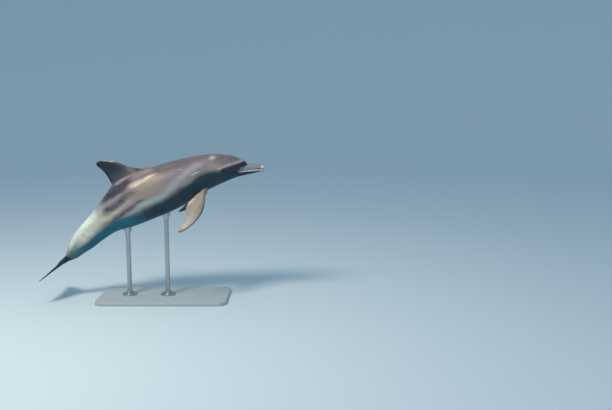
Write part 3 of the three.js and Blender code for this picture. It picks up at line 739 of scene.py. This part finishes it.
def markings_and_painted_light(points, normals):
    """A mask from 0 to 1 for each of the skin's colours."""
    s, n = along_and_over(points)
    flow = np.column_stack((s * 0.35, points[:, 1], n))
    coarse, fine = drift(flow, 70, 3.7), drift(flow, 26, 11.3)
    y, side = points[:, 1], abs(points[:, 1])
    _, top, bottom, half, level, _ = BODY(s)
    cy, cn, reach, lead = from_surface(s, n, y)
    h = (n - level) / np.where(n > level, top - level, bottom + level)
    h = h + (0.06 * coarse + 0.03 * fine) * ease(s, 380, 560)
    off = np.hypot(y, n - level) - reach
    lip = n - MOUTH(s)[0]
    on_fin = ease(off, 4, 18)
    body = 1 - on_fin
    dorsal = on_fin * (n > level) * within(s, 850, 1500, 20)
    flukes = ease(off, 3, 14) * ease(s, 1800, 1850)
    flippers = on_fin * (n < level) * within(s, 480, 1100, 20)
    pitch = np.interp(DORSAL_AT["s"], spine_s, spine_pitch)
    tailward = np.array((-math.cos(pitch), 0, -math.sin(pitch)))
    upward = np.array((-math.sin(pitch), 0, math.cos(pitch)))
    from_lead, from_trail, out = fin_places(
        points, DORSAL_FIN, place(DORSAL_AT["s"], DORSAL_AT["n"]), tailward, upward
    )
    # Painted shade along each flipper's leading edge and a darker tip, and a painted highlight by its trailing edge
    # near the root and over its outer part.
    flipper_rim_shade, flipper_highlight = np.zeros((2, len(points)))
    for flipper in FLIPPERS.values():
        start, across, along, _ = flipper_axes(**flipper)
        behind, ahead, down = fin_places(points, FLIPPER, start, across, along)
        mine = flippers * (np.sign(y) == flipper["side"])
        flipper_rim_shade += mine * (1 - ease(behind, 3, 15)) * ease(down, 30, 90)
        flipper_rim_shade += mine * 0.6 * ease(down, 310, 355)
        flipper_highlight += mine * (hump(ahead - 8, 18) * ease(down, -20, 20) * (1 - ease(down, 90, 140)) + 0.5 * ease(down, 120, 240))
    low_corner = 1 - ease(n, 16, 36)
    masks = dict(
        # Painted shade: the underside is dark teal as it looks in shade, and a lighter teal towards the tail. The
        # real belly is pale.
        belly=1 - ease(h - BELLY_SHADE_EDGE(s)[0], -0.15, 0.16),
        rear_belly_shade=(1 - ease(h - BELLY_SHADE_EDGE(s)[0], -0.15, 0.2)) * ease(s, 1020, 1240),
        cape=ease(h - CAPE_EDGE(s)[0], -0.2, 0.2),
        shoulder=hump(h - 0.45, 0.45) * within(s, 500, 800, 130),
        # Painted warm sunlight on the middle of the flank.
        flank_warm_light=hump(h - 0.3, 0.45) * within(s, 880, 1060, 110),
        tail_pale=ease(s + 120 * h, 1400, 1620) * (1 - ease(s, 1800, 1880)) * ease(h, -0.5, 0.1),
        # A painted highlight along the top of the tail stock.
        tail_top_highlight=ease(s, 1380, 1600) * (1 - ease(s, 1780, 1850)) * ease(h, 0.35, 0.85),
        # Painted highlights on the crown before the blowhole and on the brow over the eye.
        brow=hump(np.hypot((s - 412) / 1.6, n - 127), 15) + 0.9 * hump(s - 363, 14) * hump(n - 35, 8),
        # A painted highlight along the melon's lower edge.
        melon_edge_highlight=within(s, 150, 330, 20) * hump(n - MELON_UNDER(s)[0] - 10, 12),
        tail_shade=ease(s, 1680, 1810) * ease(0.7 - h, 0, 0.6),
        # The dark stripe from the eye to the crease, with painted shade under the melon's overhang.
        eye_stripe_and_melon_shade=within(s, 100, 352, 16) * (1 - ease(n - MELON_UNDER(s)[0], -9, 6)) * ease(lip, 2, 20)
        * (1 - ease(lead, 0, 8) * (1 - ease(s, 250, 300))),
        # Painted shade in the crease between the beak and the melon.
        crease=hump(from_crease(s, n, y), 9) * ease(lip, 2, 12) * (1 - 0.95 * low_corner),
        beak=(1 - ease(s + n, 190, 224)) * ease(lip, 2, 10) * np.maximum(ease(lead, -1, 5), low_corner),
        lip_light=hump(lip + 6, 5.5) * (1 - ease(s, 196, 226)),
        # Painted shade in the mouth's line, and by the beak's tip.
        mouth=np.maximum(hump(lip, 2.3) * (1 - ease(s, 296, 312)), hump(lip - 3, 6) * hump(s - 38, 20)),
        # Painted highlights on the tips of the jaws.
        jaw_tip_highlights=hump(s - 9, 18) * hump(lip - 13, 12) + hump(s - 28, 16) * hump(lip + 8, 7),
        fin=dorsal,
        fin_upper=dorsal * ease(out, 40, 130),
        # Painted shade on the dorsal fin's front foot, where its root catches the light.
        fin_foot_shade=within(s, 975, 1062, 30) * hump(n - 250, 12),
        fin_behind=dorsal * (1 - ease(from_trail, 4, 34)) * ease(out, 0, 50),
        fin_lead=dorsal * (0.35 * (1 - ease(from_lead, 3, 16)) * ease(out, 10, 50)
                           + 0.9 * (1 - ease(from_lead, 6, 26)) * within(out, 170, 205, 14)),
        fin_root=body * hump(n - np.interp(s, (1020, 1190), (236, 208)), 10) * within(s, 1030, 1180, 40),
        flipper=flippers,
        # A painted highlight on each flipper, painted shade along its leading edge, and painted shade on its inner
        # face.
        flipper_highlight=flipper_highlight,
        flipper_rim_shade=np.clip(flipper_rim_shade, 0, 1),
        flipper_inner_shade=flippers * ease(-normals[:, 1] * np.sign(y), -0.1, 0.25),
        fluke=np.maximum(flukes, ease(s - 22 * ease(h, 0, 1), 1880, 1905)),
        lid=eye_rims,
        # Painted shade in the blowhole's slit.
        blowhole_shade=hump(s - BLOWHOLE["s"] + BLOWHOLE["bow"] * (y / BLOWHOLE["half_width"]) ** 2, 3)
        * ease(cn, 0.8, 0.95) * (1 - ease(side, 19, 25)),
    )
    for name, (start, end, soft, line) in STREAKS.items():
        middle, width = line(s)
        masks[name] = np.maximum(1 - ((h - middle) / width) ** 2, 0) ** 1.5 * within(s, start, end, soft)
    for name in ("belly", "rear_belly_shade", "cape", "shoulder", "flank_warm_light", "tail_pale", "tail_top_highlight", *STREAKS):
        masks[name] = masks[name] * body
    return masks


skin = join_skin()
add_detail(skin)
back_on_surface(skin)
eye_rims = sculpt(skin)
for name, mask in markings_and_painted_light(read_vertices(skin.data), read_normals(skin.data)).items():
    values = skin.data.attributes.new(name, "FLOAT", "POINT")
    values.data.foreach_set("value", np.clip(mask, -1, 1))
body_lie = skin.data.attributes.new("body_lie", "FLOAT_VECTOR", "POINT")
lie = read_vertices(skin.data)
body_lie.data.foreach_set("vector", np.column_stack((along_and_over(lie)[0], lie[:, 1:])).ravel() * MM)
skin.data.attributes.remove(skin.data.attributes["part"])
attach(skin, "root")
FLESH = [
    "head", "upper_beak", "lower_jaw", "chest", "abdomen", "tail_stock",
    "dorsal_fin", "flipper_right", "flipper_left", "fluke_right", "fluke_left",
]
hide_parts(*FLESH)


# ---------- Eyes ----------
def make_eye(name, side):
    """An eyeball with a raised cornea. Its attributes are the distances along and over its gaze."""
    middle, forward, up, outward = eye_frame(side)
    bm = bmesh.new()
    bmesh.ops.create_uvsphere(bm, u_segments=64, v_segments=40, radius=1)
    local = np.array([v.co for v in bm.verts])
    bulge = 0.9 * (1 - ease(np.hypot(local[:, 0], local[:, 1]), 0.2, 0.55)) * (local[:, 2] > 0)
    reach = EYE["radius"] + bulge
    points = middle + (local * reach[:, None]) @ np.array((forward, up, outward))
    for vert, point in zip(bm.verts, points * MM):
        vert.co = point
    bmesh.ops.recalc_face_normals(bm, faces=bm.faces)
    eye = finished(name, bm)
    for attribute, axis in (("gaze_along", 0), ("gaze_over", 1), ("gaze_out", 2)):
        values = eye.data.attributes.new(attribute, "FLOAT", "POINT")
        values.data.foreach_set("value", local[:, axis] * EYE["radius"])
    return eye


eyes = []
for name, side in (("right", -1), ("left", 1)):
    eye = make_eye("eyeball_" + name, side)
    eyes.append(eye)
    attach(eye, "root")
    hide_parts("eye_" + name)

# ---------- Stand ----------
POST_RADIUS = 19
FLANGE = dict(radius=62, thick=12, collar=30, height=34, edge=2)
CUP = dict(foot=22, neck=24, neck_height=12, radius=34, flare_height=40, depth=50, inside=60)
SCREW = dict(count=4, circle=46, radius=5.5, height=3.2, socket=2.6)


def turned(name, x, foot, profile):
    """A part turned round a vertical axis, from pairs of radius and height. Its foot's height is given."""
    bm = bmesh.new()
    verts = [bm.verts.new((x * MM + r * MM, 0, (foot + h) * MM)) for r, h in profile]
    edges = [bm.edges.new(pair) for pair in zip(verts, verts[1:])]
    bmesh.ops.spin(
        bm, geom=verts + edges, cent=(x * MM, 0, 0), axis=(0, 0, 1), angle=2 * math.pi, steps=72,
        use_merge=True,
    )
    bmesh.ops.remove_doubles(bm, verts=bm.verts, dist=1e-6)
    bmesh.ops.recalc_face_normals(bm, faces=bm.faces)
    return finished(name, bm)


def arc(radius, height, size, start, end, steps=5):
    """Points of a rounded edge, from pairs of radius and height, between two angles in degrees."""
    angles = [math.radians(start + (end - start) * k / steps) for k in range(steps + 1)]
    return [(radius + size * math.cos(angle), height + size * math.sin(angle)) for angle in angles]


def sharp_edges(piece, degrees):
    """Keeps a piece's crisp edges crisp under smooth shading."""
    bm = bmesh.new()
    bm.from_mesh(piece.data)
    for edge in bm.edges:
        edge.smooth = edge.calc_face_angle(0) < math.radians(degrees)
    bm.to_mesh(piece.data)
    bm.free()


def make_board():
    low, high = (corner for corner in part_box("stand_base"))
    size = Vector(high) - Vector(low)
    bm = bmesh.new()
    bmesh.ops.create_cube(bm, size=1)
    bmesh.ops.scale(bm, vec=size, verts=bm.verts)
    bmesh.ops.translate(bm, vec=(Vector(low) + Vector(high)) / 2, verts=bm.verts)
    corners = [e for e in bm.edges if abs(e.verts[0].co.z - e.verts[1].co.z) > size.z / 2]
    bmesh.ops.bevel(
        bm, geom=corners, offset=70 * MM, segments=20, profile=0.5, affect="EDGES", material=-1
    )
    rims = [e for e in bm.edges if abs(e.verts[0].co.z - e.verts[1].co.z) < size.z / 2]
    bmesh.ops.bevel(
        bm, geom=rims, offset=4 * MM, segments=4, profile=0.5, affect="EDGES", material=-1
    )
    bmesh.ops.recalc_face_normals(bm, faces=bm.faces)
    board = finished("display_board", bm)
    sharp_edges(board, 35)
    return board


def make_screw(name, x, y, foot):
    """A domed socket screw."""
    r, h, socket = SCREW["radius"], SCREW["height"], SCREW["socket"]
    profile = [(0, 1), (socket, 1), (socket, h), (socket + 0.4, h + 0.2), (r - 1.2, h - 0.3)]
    profile += arc(r - 1.4, h - 1.8, 1.4, 80, 0, 4) + [(r, 0), (0, 0)]
    screw = turned(name, 0, foot, profile)
    for vert in screw.data.vertices:
        vert.co.x += x * MM
        vert.co.y += y * MM
    return screw


def stand_pieces(end):
    """The turned parts of one post: its flange, post and belly cup, sized from the nodes that they stand for."""
    box_low, box_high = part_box("stand_post_" + end)
    x = (box_low[0] + box_high[0]) / 2 / MM
    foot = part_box("stand_flange_" + end)[0][2] / MM
    flange_top = foot + FLANGE["height"]
    cup_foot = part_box("stand_cup_" + end)[0][2] / MM
    radius, thick, collar, height = (FLANGE[key] for key in ("radius", "thick", "collar", "height"))
    profile = [(0, 0), (radius, 0)] + arc(radius - 3, thick - 3, 3, 0, 90)
    profile += arc(collar + 5, thick + 5, 5, 270, 180) + arc(collar - 2.5, height - 2.5, 2.5, 0, 90)
    flange = turned("post_flange_" + end, x, foot, profile + [(POST_RADIUS, height), (0, height)])
    post = turned(
        "post_" + end, x, flange_top,
        [(0, 0), (POST_RADIUS, 0), (POST_RADIUS, cup_foot - flange_top), (0, cup_foot - flange_top)],
    )
    neck, wide, flare = CUP["neck"], CUP["radius"], CUP["flare_height"]
    bell = [(neck + (wide - neck) * float(ease(u, 0, 1)), 12 + (flare - 12) * u) for u in np.linspace(0, 1, 9)]
    cup = turned(
        "belly_cup_" + end, x, cup_foot,
        [(0, 0)] + arc(neck - 3, 3, 3, 270, 360) + bell + [(wide, CUP["depth"] + 60), (0, CUP["depth"] + 60)],
    )
    return flange, post, cup


def trim_to_belly(cup):
    """Cuts a cup to the belly's shape, and keeps the part under it."""
    belly = make_body()
    combined(cup, [belly], "DIFFERENCE")
    bm = bmesh.new()
    bm.from_mesh(cup.data)
    lowest = min(bm.verts, key=lambda v: v.co.z)
    kept, grown = {lowest}, [lowest]
    while grown:
        vert = grown.pop()
        for edge in vert.link_edges:
            other = edge.other_vert(vert)
            if other not in kept:
                kept.add(other)
                grown.append(other)
    bmesh.ops.delete(bm, geom=[v for v in bm.verts if v not in kept], context="VERTS")
    bm.to_mesh(cup.data)
    bm.free()
    for polygon in cup.data.polygons:
        polygon.use_smooth = True
    sharp_edges(cup, 30)


steel_pieces = []
for end in ("front", "rear"):
    flange, post, cup = stand_pieces(end)
    trim_to_belly(cup)
    for piece, node in ((flange, "stand_flange_"), (post, "stand_post_"), (cup, "stand_cup_")):
        sharp_edges(piece, 30)
        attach(piece, "root")
        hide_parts(node + end)
        steel_pieces.append(piece)
    x = (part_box("stand_post_" + end)[0][0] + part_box("stand_post_" + end)[1][0]) / 2 / MM
    for k in range(SCREW["count"]):
        angle = math.radians(45 + 90 * k)
        screw = make_screw(
            "flange_screw_%s_%d" % (end, k + 1), x + SCREW["circle"] * math.cos(angle),
            SCREW["circle"] * math.sin(angle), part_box("stand_flange_" + end)[0][2] / MM + FLANGE["thick"],
        )
        sharp_edges(screw, 30)
        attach(screw, "root")
        steel_pieces.append(screw)
board = make_board()
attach(board, "root")
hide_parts("stand_base")


# ---------- Materials ----------
def linear(hex_colour):
    """A linear colour from sRGB hex digits."""
    values = [int(hex_colour[k : k + 2], 16) / 255 for k in (1, 3, 5)]
    return [v / 12.92 if v < 0.04045 else ((v + 0.055) / 1.055) ** 2.4 for v in values] + [1]


def add(tree, kind, inputs=None, **settings):
    """Adds a node with its settings. inputs gives its sockets values, or other sockets to link."""
    made = tree.nodes.new("ShaderNode" + kind)
    for key, value in settings.items():
        setattr(made, key, value)
    for key, value in (inputs or {}).items():
        if isinstance(value, bpy.types.NodeSocket):
            tree.links.new(value, made.inputs[key])
        else:
            made.inputs[key].default_value = value
    return made


def new_material(name):
    """A material with a shader of its own, and the place of each point in metres."""
    material = bpy.data.materials.new(name)
    material.use_nodes = True
    tree = material.node_tree
    tree.nodes.clear()
    shader = add(tree, "BsdfPrincipled")
    add(tree, "OutputMaterial", {"Surface": shader.outputs["BSDF"]})
    return material, tree, shader, add(tree, "TexCoord").outputs["Object"]


# Bottlenose dolphin skin: smooth, rubbery and wet. It gives a soft sheen, never a mirror, over mottled
# greys, with a paler flank, a dark back and fine scratches. Light and shade are painted in as well: a dark teal
# shade under the belly, highlights on the flank, head, tail and flippers, and shade in the head's creases and
# hollows.
SKIN_LAYERS = [
    # mask, colour, strength, how much its strength varies
    ("shoulder", "#77727c", 0.75, 0.8),
    # Painted warm sunlight on the middle of the flank.
    ("flank_warm_light", "#8f837b", 0.7, 0.9),
    ("tail_pale", "#c6cfc2", 0.9, 0.9),
    # A painted highlight along the top of the tail stock.
    ("tail_top_highlight", "#e6ede4", 0.8, 0.9),
    ("pale_streak", "#b9b7aa", 0.6, 1.2),
    ("lower_streak", "#444b54", 0.8, 0.9),
    ("pale_band", "#9cb0ad", 0.78, 0.9),
    ("cape", "#685e68", 0.9, 0.5),
    ("upper_dark", "#574a52", 0.6, 0.8),
    ("dusk", "#5a5059", 0.55, 0.8),
    ("back_glow", "#9a8583", 0.65, 0.9),
    ("shoulder_glow", "#a3a1a6", 0.6, 0.9),
    ("light_streak", "#999ea0", 0.6, 1.2),
    ("dark_streak", "#353d49", 0.85, 0.8),
    ("saddle", "#2c3242", 0.9, 0.6),
    # Painted highlights on the upper flank: a soft glow, then its bright streak.
    ("flank_highlight_glow", "#a39385", 0.5, 0.9),
    ("flank_highlight", "#ecd5c0", 0.72, 0.9),
    ("shoulder_streak", "#ddd8cd", 0.7, 0.8),
    # Painted dark teal shade under the belly, lighter towards the tail.
    ("belly", "#02303f", 0.97, 0.1),
    ("rear_belly_shade", "#0e6c80", 0.85, 0.6),
    ("tail_shade", "#3d6a70", 0.85, 0.6),
    # A painted highlight on the melon's lower edge.
    ("melon_edge_highlight", "#b4aeb8", 0.6, 0.8),
    # The dark eye stripe, with painted shade under the melon.
    ("eye_stripe_and_melon_shade", "#0c1b29", 0.92, 0.3),
    # Painted highlights on the brow and crown.
    ("brow", "#d8c7c0", 0.7, 0.6),
    ("beak", "#85878f", 0.9, 0.5),
    # Painted shade in the crease.
    ("crease", "#142a38", 0.85, 0.3),
    ("lip_light", "#e6f0f0", 0.9, 0.4),
    # Painted highlights on the tips of the jaws.
    ("jaw_tip_highlights", "#f4f7f7", 0.9, 0.4),
    # Painted shade in the mouth's line.
    ("mouth", "#10181f", 0.95, 0),
    ("fin_root", "#b0a5a0", 0.78, 0.6),
    ("fin", "#38454f", 0.97, 0.1),
    ("fin_upper", "#1b2a35", 0.8, 0.8),
    # Painted shade on the fin's front foot.
    ("fin_foot_shade", "#2f313c", 0.85, 0.4),
    ("fin_behind", "#0a1622", 0.85, 0.4),
    ("fin_lead", "#b9a9a6", 0.7, 1.6),
    ("flipper", "#8d8379", 0.97, 0.1),
    # A painted highlight on the flippers, painted shade on their inner faces, and painted shade along their leading
    # edges.
    ("flipper_highlight", "#d6cdc0", 0.7, 1.4),
    ("flipper_inner_shade", "#1c2a38", 0.9, 0.2),
    ("flipper_rim_shade", "#3c3a44", 0.8, 0.6),
    ("fluke", "#0a1623", 0.97, 0.1),
    ("lid", "#12171f", 0.9, 0.2),
    # Painted shade in the blowhole.
    ("blowhole_shade", "#1f2026", 0.9, 0),
]


def skin_material():
    material, tree, shader, place_in = new_material("dolphin_skin_wet")
    metre = 1 / MM
    lie = add(tree, "Attribute", attribute_name="body_lie").outputs["Vector"]
    drawn_out = add(tree, "Mapping", {"Vector": lie, "Scale": (0.3, 1, 1)}).outputs[0]
    mottle = add(tree, "TexNoise", {"Vector": drawn_out, "Scale": metre / 80, "Detail": 6.0}).outputs["Fac"]
    speckle = add(tree, "TexNoise", {"Vector": drawn_out, "Scale": metre / 12, "Detail": 5.0}).outputs["Fac"]
    uneven = add(tree, "Math", {0: mottle, 1: speckle}, operation="ADD").outputs[0]
    uneven = add(tree, "Math", {0: uneven, 1: -1.0}, operation="ADD").outputs[0]
    colour = add(
        tree, "Mix", {0: mottle, 6: linear("#857e7e"), 7: linear("#958c87")}, data_type="RGBA"
    ).outputs[2]
    for mask, paint, strength, varied in SKIN_LAYERS:
        value = add(tree, "Attribute", attribute_name=mask).outputs["Fac"]
        power = add(
            tree, "Math", {0: uneven, 1: 1.6 * varied, 2: strength}, operation="MULTIPLY_ADD"
        ).outputs[0]
        value = add(tree, "Math", {0: value, 1: power}, operation="MULTIPLY", use_clamp=True).outputs[0]
        colour = add(tree, "Mix", {0: value, 6: colour, 7: linear(paint)}, data_type="RGBA").outputs[2]
    # Faint scratches left by other dolphins' teeth: long, thin and a few millimetres apart.
    raked = add(tree, "Mapping", {"Vector": lie, "Rotation": (0.1, 0.2, 0.15), "Scale": (0.06, 1, 1)})
    scratch = add(
        tree, "TexNoise", {"Vector": raked.outputs[0], "Scale": metre / 9, "Detail": 2.0}
    ).outputs["Fac"]
    scratch = add(
        tree, "MapRange", {"Value": scratch, "From Min": 0.69, "From Max": 0.78, "To Max": 0.25}
    ).outputs[0]
    colour = add(
        tree, "Mix", {0: scratch, 6: colour, 7: linear("#c9c4bd")}, data_type="RGBA", blend_type="MIX"
    ).outputs[2]
    tree.links.new(colour, shader.inputs["Base Color"])
    rough = add(
        tree, "MapRange", {"Value": speckle, "From Min": 0.3, "From Max": 0.7, "To Min": 0.42, "To Max": 0.56}
    ).outputs[0]
    tree.links.new(rough, shader.inputs["Roughness"])
    shader.inputs["Specular IOR Level"].default_value = 0.32
    shader.inputs["Coat Weight"].default_value = 0.05
    shader.inputs["Coat Roughness"].default_value = 0.25
    shader.inputs["Subsurface Weight"].default_value = 0.06
    shader.inputs["Subsurface Radius"].default_value = (0.008, 0.004, 0.003)
    fine = add(tree, "TexNoise", {"Vector": place_in, "Scale": metre / 5, "Detail": 6.0}).outputs["Fac"]
    bump = add(tree, "Bump", {"Height": fine, "Strength": 0.25, "Distance": 0.4 * MM})
    tree.links.new(bump.outputs[0], shader.inputs["Normal"])
    return material


# A dolphin's eye: a wet, clear cornea over a dark brown iris, with a wide flat pupil and a dark white.
def eye_material():
    material, tree, shader, _ = new_material("eye_wet_cornea")
    along, over = (add(tree, "Attribute", attribute_name=name).outputs["Fac"] for name in ("gaze_along", "gaze_over"))
    flat = add(tree, "CombineXYZ", {0: along, 1: over})
    far = add(tree, "VectorMath", {0: flat.outputs[0]}, operation="LENGTH").outputs["Value"]
    streaks = add(tree, "TexNoise", {"Vector": flat.outputs[0], "Scale": 0.9, "Detail": 4.0}).outputs["Fac"]
    iris = add(
        tree, "Mix", {0: streaks, 6: linear("#130c09"), 7: linear("#33221a")}, data_type="RGBA"
    ).outputs[2]
    white = add(tree, "MapRange", {"Value": far, "From Min": 8.6, "From Max": 10.0}).outputs[0]
    colour = add(tree, "Mix", {0: white, 6: iris, 7: linear("#221b1a")}, data_type="RGBA").outputs[2]
    squeezed = add(tree, "VectorMath", {0: flat.outputs[0], 1: (1, 2.1, 1)}, operation="MULTIPLY").outputs[0]
    near = add(tree, "VectorMath", {0: squeezed}, operation="LENGTH").outputs["Value"]
    pupil = add(tree, "MapRange", {"Value": near, "From Min": 5.4, "From Max": 4.8}).outputs[0]
    colour = add(tree, "Mix", {0: pupil, 6: colour, 7: linear("#060708")}, data_type="RGBA").outputs[2]
    tree.links.new(colour, shader.inputs["Base Color"])
    shader.inputs["Roughness"].default_value = 0.2
    shader.inputs["Specular IOR Level"].default_value = 0.15
    shader.inputs["Coat Weight"].default_value = 0.4
    shader.inputs["Coat Roughness"].default_value = 0.03
    return material


# Stainless steel tube and turnings, brushed: fine rings round the posts that stretch the highlights.
def steel_material():
    material, tree, shader, place_in = new_material("stainless_steel_brushed")
    # Brushing is some 0.2 mm apart, and is drawn 2 mm apart to show.
    brushed = add(tree, "Mapping", {"Vector": place_in, "Scale": (0.05, 0.05, 1)})
    lines = add(
        tree, "TexNoise", {"Vector": brushed.outputs[0], "Scale": 1 / (2 * MM), "Detail": 3.0}
    ).outputs["Fac"]
    cloud = add(tree, "TexNoise", {"Vector": place_in, "Scale": 1 / (60 * MM), "Detail": 3.0}).outputs["Fac"]
    colour = add(
        tree, "Mix", {0: lines, 6: linear("#a9adb0"), 7: linear("#c6c9cb")}, data_type="RGBA"
    ).outputs[2]
    tree.links.new(colour, shader.inputs["Base Color"])
    mixed = add(tree, "Math", {0: lines, 1: 0.5, 2: cloud}, operation="MULTIPLY_ADD").outputs[0]
    rough = add(
        tree, "MapRange", {"Value": mixed, "From Min": 0.4, "From Max": 1.1, "To Min": 0.24, "To Max": 0.44}
    ).outputs[0]
    tree.links.new(rough, shader.inputs["Roughness"])
    shader.inputs["Metallic"].default_value = 1
    bump = add(tree, "Bump", {"Height": lines, "Strength": 0.12, "Distance": 0.2 * MM})
    tree.links.new(bump.outputs[0], shader.inputs["Normal"])
    return material


# Sprayed board: satin paint with a faint orange peel and a little dust in its colour.
def board_material():
    material, tree, shader, place_in = new_material("board_satin_paint")
    cloud = add(tree, "TexNoise", {"Vector": place_in, "Scale": 1 / (160 * MM), "Detail": 4.0}).outputs["Fac"]
    # Orange peel is 1 to 2 mm across, and is drawn at 3 mm.
    peel = add(tree, "TexNoise", {"Vector": place_in, "Scale": 1 / (3 * MM), "Detail": 2.0}).outputs["Fac"]
    colour = add(
        tree, "Mix", {0: cloud, 6: linear("#a8b4ba"), 7: linear("#b4bfc4")}, data_type="RGBA"
    ).outputs[2]
    tree.links.new(colour, shader.inputs["Base Color"])
    rough = add(
        tree, "MapRange", {"Value": cloud, "From Min": 0.3, "From Max": 0.7, "To Min": 0.38, "To Max": 0.5}
    ).outputs[0]
    tree.links.new(rough, shader.inputs["Roughness"])
    bump = add(tree, "Bump", {"Height": peel, "Strength": 0.15, "Distance": 0.2 * MM})
    tree.links.new(bump.outputs[0], shader.inputs["Normal"])
    return material


def wear(piece, material):
    piece.data.materials.clear()
    piece.data.materials.append(material)


wear(skin, skin_material())
cornea = eye_material()
for eye in eyes:
    wear(eye, cornea)
steel = steel_material()
for piece in steel_pieces:
    wear(piece, steel)
wear(board, board_material())


# ---------- Studio ----------
def floor_material():
    """A plain, matt, pale floor."""
    material, tree, shader, _ = new_material("studio_floor_matt")
    shader.inputs["Base Color"].default_value = linear("#cfdfe8")
    shader.inputs["Roughness"].default_value = 0.9
    shader.inputs["Specular IOR Level"].default_value = 0.1
    return material


def make_floor():
    """A round floor that curves up into a plain wall, far from the stand."""
    bm = bmesh.new()
    profile = [(0, 0), (11, 0)] + [(11 + 6 * math.sin(a), 6 - 6 * math.cos(a)) for a in np.linspace(0.1, 1.57, 16)]
    verts = [bm.verts.new((r, 0, z)) for r, z in profile + [(17, 11)]]
    edges = [bm.edges.new(pair) for pair in zip(verts, verts[1:])]
    bmesh.ops.spin(
        bm, geom=verts + edges, cent=(0, 0, 0), axis=(0, 0, 1), angle=2 * math.pi, steps=96,
        use_merge=True,
    )
    bmesh.ops.remove_doubles(bm, verts=bm.verts, dist=1e-5)
    bmesh.ops.recalc_face_normals(bm, faces=bm.faces)
    bmesh.ops.reverse_faces(bm, faces=bm.faces)
    return finished("floor", bm)


floor = make_floor()
wear(floor, floor_material())

CAMERA_PLACE = (1.22, -7.0, 1.87)
CAMERA_PITCH = -8.6
camera = bpy.data.objects.new("camera", bpy.data.cameras.new("camera"))
bpy.context.scene.collection.objects.link(camera)
bpy.context.scene.camera = camera
camera.location = CAMERA_PLACE
camera.rotation_euler = (math.radians(90 + CAMERA_PITCH), 0, 0)
camera.data.lens = 49


def softbox(name, place_at, aim, size, watts, colour):
    """A square area light that looks at a point."""
    lamp = bpy.data.objects.new(name, bpy.data.lights.new(name, "AREA"))
    bpy.context.scene.collection.objects.link(lamp)
    lamp.data.size = size
    lamp.data.energy = watts
    lamp.data.color = linear(colour)[:3]
    lamp.location = place_at
    lamp.rotation_euler = (Vector(place_at) - Vector(aim)).to_track_quat("Z", "Y").to_euler()


MIDDLE = (0, 0, 0.8)
softbox("key_light", (-1.9, -3.0, 5.2), MIDDLE, 1.5, 250, "#fff1df")
softbox("fill_light", (4.5, -6, 3), MIDDLE, 4, 25, "#cfe2ff")

world = bpy.data.worlds.new("studio_air")
bpy.context.scene.world = world
world.use_nodes = True
backdrop = world.node_tree.nodes["Background"]
backdrop.inputs["Color"].default_value = linear("#c4dcec")
backdrop.inputs["Strength"].default_value = 0.65
bpy.context.scene.view_settings.view_transform = "Standard"
